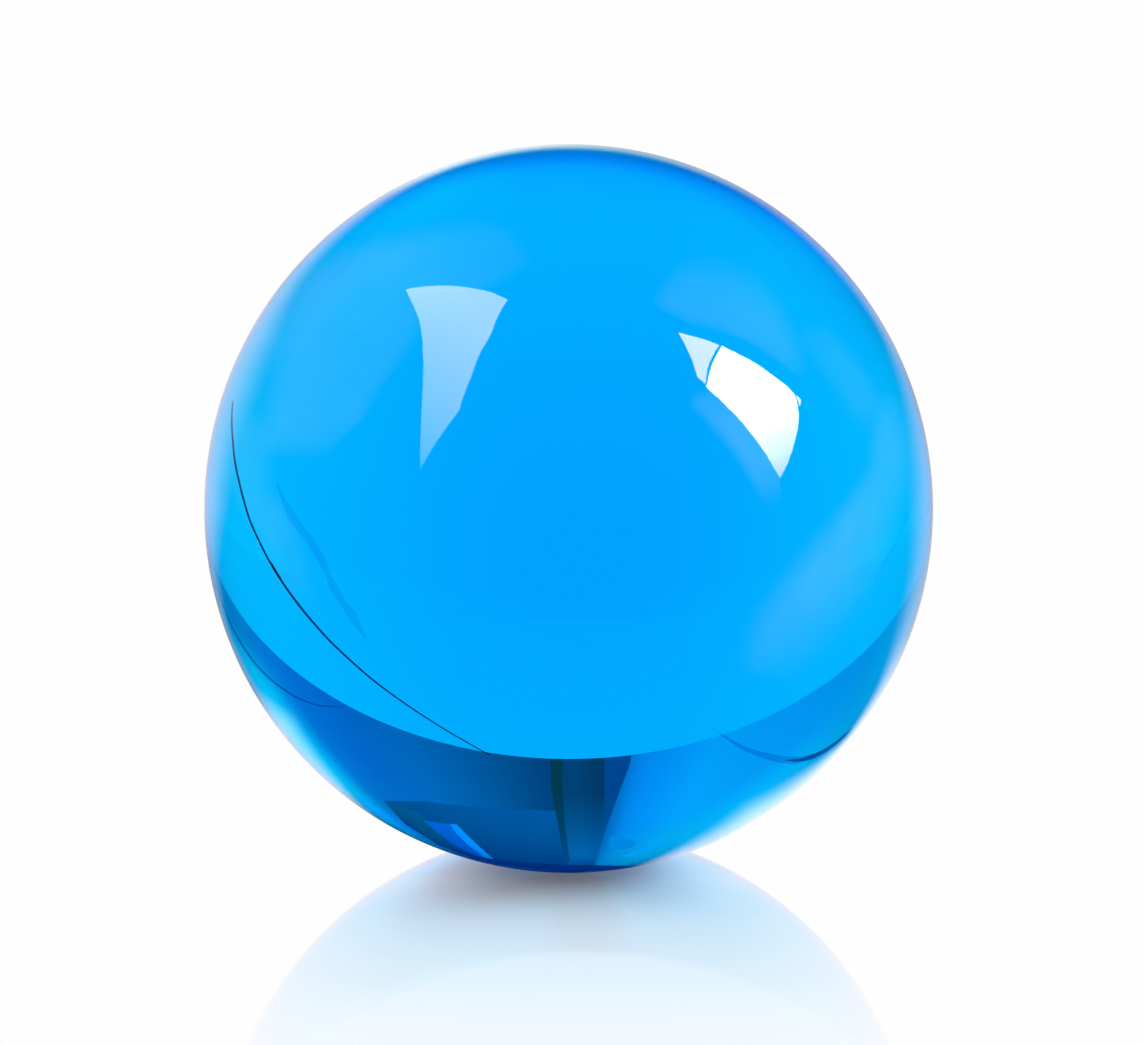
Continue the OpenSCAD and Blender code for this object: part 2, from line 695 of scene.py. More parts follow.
right_cloth = lamp_cloth("softbox_cloth_right", DIM_RIGHT, BRIGHT_RIGHT, foot=5.0, head=11.0)
softbox("softbox_left", LEFT_LAMP, left_cloth)
softbox("softbox_right_small", RIGHT_LAMP_SMALL, small_cloth)
softbox("softbox_right", RIGHT_LAMP, right_cloth)
softbox("softbox_right_end", RIGHT_LAMP_END, small_cloth)

# %% [markdown]
# ## Pools of light on the dark walls
# The lamps also light the walls and curtains of the dark room, and the ball mirrors
# these as faint pale pools. A pool has no outline, so each is a grid of small faces
# that carries its light as an attribute: full in the middle, nothing at the edges.
# The grid is laid on the far walls along the mirrored lines of sight. It adds its
# light to what is behind it, and only the ball's mirror image finds it.

# %% The pools: rows of two edge spots and the light there
UPPER_LEFT = [
    (254, 457, 332, 459, 0.00),
    (251, 436, 342, 440, 0.27),
    (254, 410, 368, 418, 0.34),
    (260, 380, 384, 388, 0.32),
    (256, 345, 410, 355, 0.29),
    (262, 315, 425, 330, 0.28),
    (276, 285, 440, 305, 0.29),
    (310, 262, 455, 300, 0.31),
    (348, 243, 465, 290, 0.33),
    (395, 228, 485, 292, 0.26),
    (440, 218, 505, 285, 0.18),
    (485, 218, 525, 270, 0.12),
    (515, 225, 535, 255, 0.00),
]
LOWER_LEFT = [
    (236, 405, 270, 410, 0.00),
    (228, 430, 280, 436, 0.15),
    (224, 465, 278, 465, 0.15),
    (228, 492, 280, 490, 0.14),
    (240, 515, 292, 508, 0.21),
    (252, 538, 304, 528, 0.21),
    (262, 560, 312, 550, 0.13),
    (275, 590, 318, 580, 0.09),
    (295, 618, 328, 606, 0.00),
]
UPPER_RIGHT = [
    (650, 300, 668, 268, 0.00),
    (662, 312, 684, 254, 0.31),
    (690, 326, 702, 246, 0.40),
    (718, 333, 728, 252, 0.41),
    (742, 341, 760, 268, 0.47),
    (760, 351, 782, 290, 0.48),
    (776, 361, 796, 322, 0.40),
    (790, 372, 808, 350, 0.19),
    (800, 380, 812, 366, 0.00),
]
RIGHT_DIM = [
    (785, 335, 815, 315, 0.00),
    (795, 350, 835, 328, 0.11),
    (820, 384, 865, 360, 0.13),
    (842, 414, 885, 395, 0.13),
    (858, 436, 892, 428, 0.00),
]
UNDER_LAMP = [
    (706, 388, 684, 396, 0.00),
    (716, 394, 688, 408, 0.50),
    (730, 406, 702, 423, 0.80),
    (746, 422, 718, 441, 0.95),
    (758, 438, 732, 459, 0.95),
    (770, 456, 742, 474, 0.90),
    (780, 472, 750, 489, 0.55),
    (782, 488, 757, 501, 0.18),
    (782, 503, 762, 510, 0.00),
]
LOWER_RIGHT = [
    (878, 388, 906, 396, 0.00),
    (866, 430, 916, 440, 0.27),
    (862, 465, 918, 474, 0.30),
    (846, 490, 908, 506, 0.40),
    (832, 508, 900, 530, 0.58),
    (812, 530, 892, 562, 0.70),
    (792, 552, 880, 590, 0.78),
    (772, 578, 866, 614, 0.74),
    (752, 603, 850, 636, 0.60),
    (740, 626, 834, 656, 0.44),
    (732, 650, 816, 672, 0.24),
    (730, 674, 796, 688, 0.00),
]


# %% [markdown]
# ## Laying the pools
# Each row of a table gives the two edges of the pool at one height, and the light
# there. Between the edges the light rises and falls softly, and a slow noise
# mottles it, because a curtain is never even.

# %% Laying the pools of light
POOL_DISTANCE = 40.0
POOL_COLUMNS = 14
MOTTLE_SIZE, MOTTLE_DETAIL = 5.0, 4.0
MOTTLE_LEAST, MOTTLE_MOST = 0.82, 1.18


def soft_step(share):
    """From 0 to 1 with no corner at either end."""
    share = min(max(share, 0.0), 1.0)
    return share * share * (3 - 2 * share)


def pool_finish(name):
    """Light that a wall sends back, by the amount that its grid carries."""
    material, tree, output = new_material(name)
    place = add(tree, "TexCoord")
    carried = add(tree, "Attribute", {"attribute_name": "light"})
    mottle = add(
        tree,
        "TexNoise",
        Vector=place.outputs["Object"],
        Scale=1 / radii(MOTTLE_SIZE),
        Detail=MOTTLE_DETAIL,
    )
    mottle = add(
        tree,
        "MapRange",
        Value=mottle.outputs["Fac"],
        From_Min=0.3,
        From_Max=0.7,
        To_Min=MOTTLE_LEAST,
        To_Max=MOTTLE_MOST,
    )
    amount = add(tree, "Math", MULTIPLY, s_0=carried.outputs["Fac"], s_1=mottle.outputs[0])
    path = add(tree, "LightPath")
    in_sheet = path.outputs["Is Singular Ray"]
    off_sheet = add(tree, "Math", {"operation": "SUBTRACT"}, s_0=1.0, s_1=in_sheet)
    amount = add(tree, "Math", MULTIPLY, s_0=amount.outputs[0], s_1=off_sheet.outputs[0])
    light = add(tree, "Emission", Strength=amount.outputs[0])
    behind = add(tree, "BsdfTransparent")
    surface = add(tree, "AddShader", s_0=light.outputs[0], s_1=behind.outputs[0])
    tree.links.new(surface.outputs[0], output.inputs["Surface"])
    return material


def pool_of_light(name, rows, first_soft, second_soft, material):
    """A soft pool between two edges: rows of the two edge spots and the light there."""
    bm = bmesh.new()
    bmesh.ops.create_grid(bm, x_segments=POOL_COLUMNS, y_segments=len(rows) - 1, size=1.0)
    carried = bm.verts.layers.float.new("light")
    for vert in bm.verts:
        share = (vert.co.x + 1) / 2
        x0, y0, x1, y1, light = rows[round((vert.co.y + 1) / 2 * (len(rows) - 1))]
        point, ray = mirrored(x0 + (x1 - x0) * share, y0 + (y1 - y0) * share)
        vert.co = point + ray * radii(POOL_DISTANCE)
        vert[carried] = light * soft_step(share / first_soft) * soft_step((1 - share) / second_soft)
    mesh = bpy.data.meshes.new(name)
    bm.to_mesh(mesh)
    bm.free()
    pool = bpy.data.objects.new(name, mesh)
    bpy.context.scene.collection.objects.link(pool)
    pool.data.materials.append(material)
    pool.visible_camera = False
    pool.visible_transmission = False


lit_wall = pool_finish("lit_curtain")
pool_of_light("pool_upper_left", UPPER_LEFT, 0.35, 0.12, lit_wall)
pool_of_light("pool_lower_left", LOWER_LEFT, 0.40, 0.40, lit_wall)
pool_of_light("pool_upper_right", UPPER_RIGHT, 0.12, 0.70, lit_wall)
pool_of_light("pool_right_dim", RIGHT_DIM, 0.40, 0.40, lit_wall)
pool_of_light("pool_under_lamp", UNDER_LAMP, 0.05, 0.45, lit_wall)
pool_of_light("pool_lower_right", LOWER_RIGHT, 0.35, 0.75, lit_wall)
print("six pools of light,", POOL_DISTANCE, "radii away")

# %% [markdown]
# ## The dark end of the room
# Above the card the glass shows the dark end of the room: an open bay with two
# dark posts, a folded screen, and the foot of a light stand. They are only dim
# shapes here, so each is a flat panel on one wall just behind the card, drawn by
# its outline in the ball and traced back through the glass. Each panel has three
# levels of light, at the foot, at the middle and at the head of the wall.

# %% Dim panels on the wall behind the card
WALL_BACK = 9.0
WALL_LEVELS = (2.7, 8.0, 14.0)
LAYER_GAP = 0.02
SIDE_PIECES = 4
layers_placed = []


def dim_finish(name, lights):
    """A dim wall finish, with green and blue light at three heights of the wall."""
    material, tree, output = new_material(name)
    place = add(tree, "TexCoord")
    apart = add(tree, "SeparateXYZ", s_0=place.outputs["Object"])
    foot, _, head = WALL_LEVELS
    share = add(
        tree,
        "MapRange",
        Value=apart.outputs["Z"],
        From_Min=radii(foot),
        From_Max=radii(head),
    )
    heights = [(level - foot) / (head - foot) for level in WALL_LEVELS]
    stops = [(height, green, blue) for height, (green, blue) in zip(heights, lights)]
    light = set_stops(add(tree, "ValToRGB", s_0=share.outputs[0]), stops)
    glow = add(tree, "Emission", Color=light)
    path = add(tree, "LightPath")
    turned = path.outputs["Glossy Depth"]
    once = add(tree, "Math", {"operation": "MINIMUM"}, s_0=turned, s_1=1.0)
    clear = add(tree, "BsdfTransparent")
    surface = add(tree, "MixShader", s_0=once.outputs[0], s_1=glow.outputs[0], s_2=clear.outputs[0])
    tree.links.new(surface.outputs[0], output.inputs["Surface"])
    return material


def wall_panel(name, outline, *lights):
    """A dim panel on the wall, in front of those placed before it."""
    layers_placed.append(name)
    origin = radii(0, WALL_BACK - LAYER_GAP * len(layers_placed), 0)
    spots = split_outline(outline, SIDE_PIECES)
    points = [on_plane(*through(x, y), origin, Vector((0, -1, 0))) for x, y in spots]
    panel = flat_panel(name, points, dim_finish(name + "_finish", lights))
    panel.visible_glossy = False


# %% The bay, its posts, the screen and the stand
DOORWAY = [
    (548, 752), (632, 752), (630, 764), (609, 819), (597, 858), (594, 866), (566, 868),
]
BAY_SIDE = [
    (604.5, 752), (632, 752), (630, 764), (620, 790), (611, 815), (604.5, 832),
]
POST_RIGHT = [
    (591, 752), (604.5, 752), (604.5, 800), (603.5, 833), (597, 857), (594, 857), (592.5, 820),
]
POST_SHADE = [
    (581, 752), (604.5, 752), (604.5, 800), (603.5, 833), (597, 857), (588, 857), (584, 820),
]
POST_LEFT = [
    (550, 752), (562, 752), (562.5, 790), (565, 825), (570, 862), (565, 862), (558, 825),
    (551.5, 790),
]
LOW_SHADE = [
    (384, 801), (424, 801), (455, 805), (487, 808), (556, 811), (563, 830), (568, 868),
    (530, 868), (495, 864), (440, 846), (405, 824),
]
WEDGE = [
    (384, 801), (401, 805), (420, 814), (432, 826), (446, 840), (462, 851), (478, 858.5),
    (470, 857), (448, 848), (430, 838), (412, 825), (396, 813),
]
FOLD_PALE = [
    (423.6, 820.5), (440, 823), (456, 824.5), (466, 835), (482, 850), (494, 860), (480, 857),
    (455, 846), (438, 833),
]
FOLD_BRIGHT = [
    (450, 824), (457, 824.5), (466, 834), (482, 849), (495, 860.5), (484, 857), (468, 845),
    (456, 833),
]
FOOT_ROUND = [
    (609, 839), (614, 836), (626, 838), (636, 842), (633, 847), (620, 850), (611, 847),
]
FOOT_STREAK = [
    (619, 857), (645, 848), (660, 843), (674, 839.5), (668, 843.5), (650, 850.5), (632, 857.5),
]
BOTTOM_SHADE = [
    (450, 847), (475, 856), (500, 860.5), (540, 863.5), (570, 865), (600, 865.3), (634, 866.2),
    (618, 868.6), (600, 870.5), (570, 871.5), (535, 869.5), (500, 864.5), (475, 858.8), (452, 850.5),
]
wall_panel("bay_doorway", DOORWAY, (0.14, 0.185), (0.40, 0.54), (0.19, 0.27))
wall_panel("bay_post_shade", POST_SHADE, (0.125, 0.16), (0.37, 0.53), (0.20, 0.30))
wall_panel("bay_side", BAY_SIDE, (0.155, 0.29), (0.24, 0.43), (0.20, 0.38))
wall_panel("bay_post_right", POST_RIGHT, (0.105, 0.135), (0.36, 0.56), (0.22, 0.34))
wall_panel("screen_low_shade", LOW_SHADE, (0.27, 0.43), (0.195, 0.30), (0.16, 0.21))
wall_panel("bay_post_left", POST_LEFT, (0.11, 0.07), (0.20, 0.27), (0.19, 0.30))
wall_panel("screen_wedge", WEDGE, (0.36, 0.52), (0.27, 0.26), (0.20, 0.20))
wall_panel("screen_fold_pale", FOLD_PALE, (0.42, 0.93), (0.37, 0.88), (0.33, 0.82))
wall_panel("screen_fold_bright", FOLD_BRIGHT, (0.64, 1.32), (0.90, 1.55), (0.95, 1.55))
wall_panel("stand_foot", FOOT_ROUND, (0.70, 1.0), (0.74, 1.04), (0.74, 1.04))
wall_panel("ceiling_edge", BOTTOM_SHADE, (0.14, 0.26), (0.10, 0.16), (0.08, 0.13))
wall_panel("stand_foot_streak", FOOT_STREAK, (1.1, 1.4), (1.25, 1.5), (1.35, 1.55))
print(len(layers_placed), "dim panels on the wall")

# %% [markdown]
# ## Fine lines
# A few fine dark lines cross the ball. They are edges: of the clear film that
# covers the sheet, of its far corners, and of cables on the floor of the room.
# Each is a thin round thread that lies half sunk in the sheet, the card or the
# wall, along the line that the glass shows.

# %% Threads along the edges
THREAD_ROUNDNESS = 2
BEFORE_WALL = 0.5


def carried_point(x, y):
    """Where the view through the ball lands: on the sheet, the card, or the wall."""
    start, ray = through(x, y)
    on_sheet = (SHEET_Z - start.z) / ray.z if ray.z < 0 else math.inf
    on_card = (radii(CARD_BACK) - start.y) / ray.y if ray.y > 0 else math.inf
    point = start + ray * min(on_sheet, on_card)
    if point.z - SHEET_Z > radii(CARD_TOP):
        point = start + ray * ((radii(WALL_BACK - BEFORE_WALL) - start.y) / ray.y)
    return point


def across_path(path, i, width):
    """Two pixels on either side of the path's point i, width pixels apart."""
    (xa, ya), (xb, yb) = path[max(i - 1, 0)], path[min(i + 1, len(path) - 1)]
    length = math.hypot(xb - xa, yb - ya)
    side = ((ya - yb) / length * width / 2, (xb - xa) / length * width / 2)
    x, y = path[i]
    return (x + side[0], y + side[1]), (x - side[0], y - side[1])


def thread(name, path, widths, light):
    """A thin thread whose image in the ball follows the path, some pixels wide."""
    curve = bpy.data.curves.new(name, "CURVE")
    curve.dimensions = "3D"
    curve.bevel_depth = 1.0
    curve.bevel_resolution = THREAD_ROUNDNESS
    spline = curve.splines.new("POLY")
    spline.points.add(len(path) - 1)
    for i, spot in enumerate(path):
        width = widths[0] + (widths[1] - widths[0]) * math.sin(math.pi * i / (len(path) - 1))
        point = carried_point(*spot)
        ray = through(*spot)[1]
        halves = [carried_point(*side) - point for side in across_path(path, i, width)]
        spline.points[i].co = (*point, 1)
        spline.points[i].radius = min((half - ray * half.dot(ray)).length for half in halves)
    line = bpy.data.objects.new(name, curve)
    bpy.context.scene.collection.objects.link(line)
    material, tree, output = new_material(name + "_finish")
    veil = add(tree, "BsdfTransparent", Color=(light[0], light[0], light[1], 1))
    tree.links.new(veil.outputs[0], output.inputs["Surface"])
    curve.materials.append(material)
    line.visible_camera = False
    line.visible_glossy = False


# %% The five fine lines
FILM_EDGE = [
    (233, 400), (232, 420), (233, 440), (235, 460), (239, 480), (244, 500), (250, 520),
    (259, 540), (269, 560), (281, 580), (295, 600), (311, 620), (329, 640), (350, 660),
    (373, 680), (400, 700), (430, 720), (463, 740), (490, 755),
]
LEFT_CABLE = [
    (218, 588), (223.4, 606), (233.5, 630), (244.6, 649), (260, 669), (276, 683.6), (293.7, 696),
    (316, 705), (343, 707),
]
RIGHT_CABLE_FAINT = [
    (711.5, 728), (726.7, 738), (744, 748.4), (763, 755), (782, 759.5), (799.4, 760),
    (815, 755.5), (826, 749),
]
RIGHT_CABLE = [
    (786, 760.2), (799.4, 760), (814.7, 756), (830, 747.5), (843.3, 737), (853, 727.4),
]
RIGHT_EDGE = [
    (915, 490), (912, 500), (906, 517), (897, 540), (883.5, 565), (876, 580), (862, 597.5),
    (843, 626),
]
thread("film_edge", FILM_EDGE, (1.1, 2.2), (0.06, 0.14))
thread("left_cable", LEFT_CABLE, (0.5, 1.4), (0.66, 0.78))
thread("right_cable_faint", RIGHT_CABLE_FAINT, (0.8, 4.0), (0.82, 0.90))
thread("right_cable", RIGHT_CABLE, (0.4, 2.2), (0.53, 0.66))
thread("right_edge", RIGHT_EDGE, (0.7, 1.5), (0.93, 0.98))
print("five fine lines")

# %% [markdown]
# ## A scuff
# One scuff on the sheet shows as a long smudge at the left. It is a thin patch
# that takes away a few parts in a hundred of the light, with an uneven edge.

# %% The scuff on the sheet
SCUFF = [
    (277, 484), (284, 501), (291, 515), (300, 528), (310, 540), (322, 560), (328, 575),
    (335, 590), (343, 603), (352, 615), (366, 638),
]
SCUFF_WIDTHS = [2, 5, 8, 10, 7, 9, 6, 9, 8, 10, 3]
SCUFF_VEIL = (0.80, 0.82, 0.93, 1)
UNEVEN_LEAST, UNEVEN_MOST = 0.7, 1.3
JUST_BEFORE = 0.998

scuff_finish, tree, output = new_material("scuffed_sheet")
veil = add(tree, "BsdfTransparent", Color=SCUFF_VEIL)
tree.links.new(veil.outputs[0], output.inputs["Surface"])
uneven = random.Random(7)
sides = []
for i, width in enumerate(SCUFF_WIDTHS):
    width = width * uneven.uniform(UNEVEN_LEAST, UNEVEN_MOST)
    sides.append(across_path(SCUFF, i, width))
scuff_outline = [one for one, other in sides] + [other for one, other in reversed(sides)]
scuff_points = [carried_point(*spot) * JUST_BEFORE for spot in scuff_outline]
scuff = flat_panel("scuff", scuff_points, scuff_finish)
scuff.visible_glossy = False
print("a scuff with", len(scuff_points), "corners")

# %% [markdown]
# ## The room
# Past the card the room is dark, and the camera sees only the white backdrop. What
# the other rays find depends on their direction alone, so the whole room is painted
# on the world, by bearing and height. Bearing 0 is straight behind the ball, and
# 180 is the camera's side. The same direction is also measured from the camera's
# line of sight, because the ball bends a ray by an angle from that line.

# %% Directions in the room
world = bpy.data.worlds.new("studio")
bpy.context.scene.world = world
world.use_nodes = True
tree = world.node_tree
tree.nodes.clear()
direction = add(tree, "TexCoord").outputs["Generated"]
apart = add(tree, "SeparateXYZ", s_0=direction)
bearing = add(tree, "Math", {"operation": "ARCTAN2"}, s_0=apart.outputs["X"], s_1=apart.outputs["Y"])
bearing = add(tree, "Math", {"operation": "DEGREES"}, s_0=bearing.outputs[0]).outputs[0]
elevation = add(tree, "Math", {"operation": "ARCSINE"}, s_0=apart.outputs["Z"])
elevation = add(tree, "Math", {"operation": "DEGREES"}, s_0=elevation.outputs[0]).outputs[0]
seen = add(tree, "VectorRotate", {"rotation_type": "X_AXIS"}, Vector=direction, Angle=HEIGHT_ANGLE)
seen_apart = add(tree, "SeparateXYZ", s_0=seen.outputs[0])
print("directions are turned by", round(math.degrees(HEIGHT_ANGLE), 1), "degrees to face the camera")


def soft_ellipse(place, centre, halves, softness):
    """A share of 1 inside an ellipse and 0 outside it, with a soft edge."""
    fitted = add(
        tree,
        "Mapping",
        {"vector_type": "TEXTURE"},
        Vector=place,
        Location=(*centre, 0),
        Scale=(*halves, 1),
    )
    away = add(tree, "VectorMath", {"operation": "LENGTH"}, s_0=fitted.outputs[0])
    edge = add(
        tree,
        "MapRange",
        {"interpolation_type": "SMOOTHSTEP"},
        Value=away.outputs["Value"],
        From_Min=1.0 + softness / 2,
        From_Max=1.0 - softness,
    )
    return edge.outputs[0]


# %% [markdown]
# ## The walls seen through the ball
# One table gives the green and the blue light of the walls by their bearing: dark
# bays straight behind and in front, pale walls to the sides. They grow brighter as
# the glass bends the view further, fade again towards the camera's side, and get a
# little brighter with height.

# %% The walls
ROOM = [
    (-180, 0.15, 0.25),
    (-140, 0.60, 0.95),
    (-105, 1.10, 1.15),
    (-65, 1.12, 1.36),
    (-57, 1.00, 1.22),
    (-50, 0.85, 1.08),
    (-27, 0.86, 1.08),
    (-18, 0.94, 1.10),
    (-13, 0.78, 1.05),
    (-9, 0.66, 0.98),
    (-4, 0.13, 0.20),
    (3, 0.15, 0.23),
    (10, 0.25, 0.36),
    (20, 0.36, 0.56),
    (30, 0.36, 0.66),
    (40, 0.45, 0.83),
    (48, 0.55, 0.92),
    (64, 0.64, 0.95),
    (75, 1.15, 1.35),
    (105, 1.10, 1.15),
    (140, 0.50, 0.90),
    (180, 0.15, 0.25),
]
GROWS_FROM, GROWS_TO, GROWTH = 50, 80, 1.5
FADES_FROM, FADES_TO, FADES_BY = 86, 100, 0.67
LOW_WALL, HIGH_WALL = 8.0, 30.0
LOW_SHARE, HIGH_SHARE = 0.88, 1.08

turn_share = add(tree, "MapRange", Value=bearing, From_Min=-180.0, From_Max=180.0)
stops = [(a / 360 + 0.5, g, b) for a, g, b in ROOM]
room = set_stops(add(tree, "ValToRGB", s_0=turn_share.outputs[0]), stops)
bent_by = add(tree, "Math", {"operation": "ARCCOSINE"}, s_0=seen_apart.outputs["Y"])
growth = add(
    tree,
    "MapRange",
    Value=bent_by.outputs[0],
    From_Min=math.radians(GROWS_FROM),
    From_Max=math.radians(GROWS_TO),
    To_Min=1.0,
    To_Max=GROWTH,
)
higher = add(
    tree,
    "MapRange",
    Value=elevation,
    From_Min=LOW_WALL,
    From_Max=HIGH_WALL,
    To_Min=LOW_SHARE,
    To_Max=HIGH_SHARE,
)
growth = add(tree, "Math", MULTIPLY, s_0=growth.outputs[0], s_1=higher.outputs[0])
toward_front = add(
    tree,
    "MapRange",
    Value=bent_by.outputs[0],
    From_Min=math.radians(FADES_FROM),
    From_Max=math.radians(FADES_TO),
    To_Min=1.0,
    To_Max=FADES_BY,
)
growth = add(tree, "Math", MULTIPLY, s_0=growth.outputs[0], s_1=toward_front.outputs[0]).outputs[0]
growth = add(tree, "CombineXYZ", s_0=growth, s_1=growth, s_2=higher.outputs[0])
room = add(tree, "VectorMath", MULTIPLY, s_0=room, s_1=growth.outputs[0])
print(len(ROOM), "bearings of the walls")

# %% [markdown]
# ## Screens and the horizon
# Two large pale screens stand at the sides. In the ball they are the pale areas low
# at its left and right edges. A blue cloth hangs in front of the left one. Below
# everything lies a white horizon, higher on the camera's side than at the back.

# %% The screens and the horizon
LEFT_SCREEN, LEFT_SCREEN_HALVES, LEFT_SCREEN_SOFT = (65, 46), (24.2, 35.8), 0.46
LEFT_SCREEN_LIGHT = (2.4, 2.4, 1.80, 1)
SCREEN_FOOT_FROM, SCREEN_FOOT_TO = 11.0, 18.0
BLUE_CLOTH, BLUE_CLOTH_HALVES, BLUE_CLOTH_SOFT = (44, 47), (8, 7), 0.7
BLUE_CLOTH_SHARE = (0.9, 0.9, 1.4, 1)
RIGHT_SCREEN, RIGHT_SCREEN_HALVES, RIGHT_SCREEN_SOFT = (-43, 50), (21, 22), 0.9
RIGHT_SCREEN_LIGHT = (1.9, 1.9, 1.55, 1)
HORIZON_FRONT, HORIZON_BACK, HORIZON_SOFT = 15.0, 4.0, 0.3
HORIZON_LIGHT = (1.60, 1.60, 1.40, 1)

angles = add(tree, "CombineXYZ", s_0=bearing, s_1=elevation).outputs[0]
left_screen = soft_ellipse(angles, LEFT_SCREEN, LEFT_SCREEN_HALVES, LEFT_SCREEN_SOFT)
screen_foot = add(
    tree,
    "MapRange",
    Value=elevation,
    From_Min=SCREEN_FOOT_FROM,
    From_Max=SCREEN_FOOT_TO,
)
left_screen = add(tree, "Math", MULTIPLY, s_0=left_screen, s_1=screen_foot.outputs[0]).outputs[0]
room = add(tree, "Mix", COLOURS, s_0=left_screen, s_6=room.outputs[0], s_7=LEFT_SCREEN_LIGHT)
blue_cloth = soft_ellipse(angles, BLUE_CLOTH, BLUE_CLOTH_HALVES, BLUE_CLOTH_SOFT)
blue_cloth = add(tree, "Mix", COLOURS, s_0=blue_cloth, s_6=(1, 1, 1, 1), s_7=BLUE_CLOTH_SHARE)
room = add(tree, "VectorMath", MULTIPLY, s_0=room.outputs[2], s_1=blue_cloth.outputs[2])
right_screen = soft_ellipse(angles, RIGHT_SCREEN, RIGHT_SCREEN_HALVES, RIGHT_SCREEN_SOFT)
room = add(tree, "Mix", COLOURS, s_0=right_screen, s_6=room.outputs[0], s_7=RIGHT_SCREEN_LIGHT)
horizon = add(
    tree,
    "MapRange",
    Value=apart.outputs["Y"],
    From_Min=-0.2,
    From_Max=0.0,
    To_Min=HORIZON_FRONT,
    To_Max=HORIZON_BACK,
)
above = add(tree, "Math", {"operation": "SUBTRACT"}, s_0=elevation, s_1=horizon.outputs[0])
above = add(tree, "MapRange", Value=above.outputs[0], From_Min=0.0, From_Max=HORIZON_SOFT)
room = add(tree, "Mix", COLOURS, s_0=above.outputs[0], s_6=HORIZON_LIGHT, s_7=room.outputs[2])
print("two screens, a cloth and a horizon")

# %% [markdown]
# ## The ceiling
# The sheet mirrors the ball, and a ray that goes through the ball that way comes out
# upwards. It finds a dark patch of ceiling high at the back, which gets paler all
# round, a shade over the doorway, and a bright front edge. This is what gives the
# mirror image of the ball its pale blue and its darker foot.

# %% The ceiling, seen through the ball by way of the sheet
OVERHEAD = [
    (0, 0.03, 0.03),
    (10, 0.05, 0.05),
    (12.5, 0.08, 0.08),
    (15, 0.20, 0.20),
    (17.5, 0.45, 0.40),
    (19.5, 0.72, 0.61),
    (21.5, 0.88, 0.70),
    (23.5, 1.05, 0.84),
    (26.5, 1.28, 0.96),
    (40, 1.40, 0.98),
]
OVERHEAD_TO = 40
DARK_BEARING, DARK_HEIGHT = math.radians(25), math.radians(79)
DOORWAY_SHADE, DOORWAY_HALVES, DOORWAY_SOFT = (-4, 64), (10, 22), 0.5
DOORWAY_SHARE = (0.74, 0.74, 0.78, 1)
FRONT_EDGE_FROM, FRONT_EDGE_TO = 51.9, 50.9
FRONT_EDGE_LIGHT = (1.6, 1.6, 1.06, 1)
BEHIND_FROM, BEHIND_TO = -0.1, -0.35
BEHIND_LIGHT = (0.15, 0.15, 0.25, 1)

darkest = (
    math.sin(DARK_BEARING) * math.cos(DARK_HEIGHT),
    math.cos(DARK_BEARING) * math.cos(DARK_HEIGHT),
    math.sin(DARK_HEIGHT),
)
toward = add(tree, "VectorMath", {"operation": "DOT_PRODUCT"}, s_0=direction, s_1=darkest)
from_dark = add(tree, "Math", {"operation": "ARCCOSINE"}, s_0=toward.outputs["Value"])
from_dark = add(tree, "MapRange", Value=from_dark.outputs[0], From_Max=math.radians(OVERHEAD_TO))
stops = [(a / OVERHEAD_TO, g, b) for a, g, b in OVERHEAD]
ceiling = set_stops(add(tree, "ValToRGB", s_0=from_dark.outputs[0]), stops)
slope = add(tree, "Math", {"operation": "ARCTAN2"}, s_0=apart.outputs["Z"], s_1=apart.outputs["Y"])
in_front = add(
    tree,
    "MapRange",
    Value=slope.outputs[0],
    From_Min=math.radians(FRONT_EDGE_FROM),
    From_Max=math.radians(FRONT_EDGE_TO),
)
shade = soft_ellipse(angles, DOORWAY_SHADE, DOORWAY_HALVES, DOORWAY_SOFT)
shade = add(tree, "Mix", COLOURS, s_0=shade, s_6=(1, 1, 1, 1), s_7=DOORWAY_SHARE)
ceiling = add(tree, "VectorMath", MULTIPLY, s_0=ceiling, s_1=shade.outputs[2])
ceiling = add(
    tree,
    "Mix",
    COLOURS,
    s_0=in_front.outputs[0],
    s_6=ceiling.outputs[0],
    s_7=FRONT_EDGE_LIGHT,
)
behind = add(tree, "MapRange", Value=apart.outputs["Y"], From_Min=BEHIND_FROM, From_Max=BEHIND_TO)
ceiling = add(
    tree,
    "Mix",
    COLOURS,
    s_0=behind.outputs[0],
    s_6=ceiling.outputs[2],
    s_7=BEHIND_LIGHT,
)
print("darkest ceiling towards", [round(part, 2) for part in darkest])

# %% [markdown]
# ## The rim's light
# Glass is a strong mirror at its rim, where a real ball finds the far part of the
# white sheet. Elsewhere it mirrors a dark room, so the blue stays deep. Here the
# rim's light is a painted reflection: a mirrored direction says which spot of the
# ball it came from, as a point in a circle of radius 1. The table goes once round
# that circle, from the right by way of the top, and gives how bright the painted
# rim is and how far inwards it reaches.

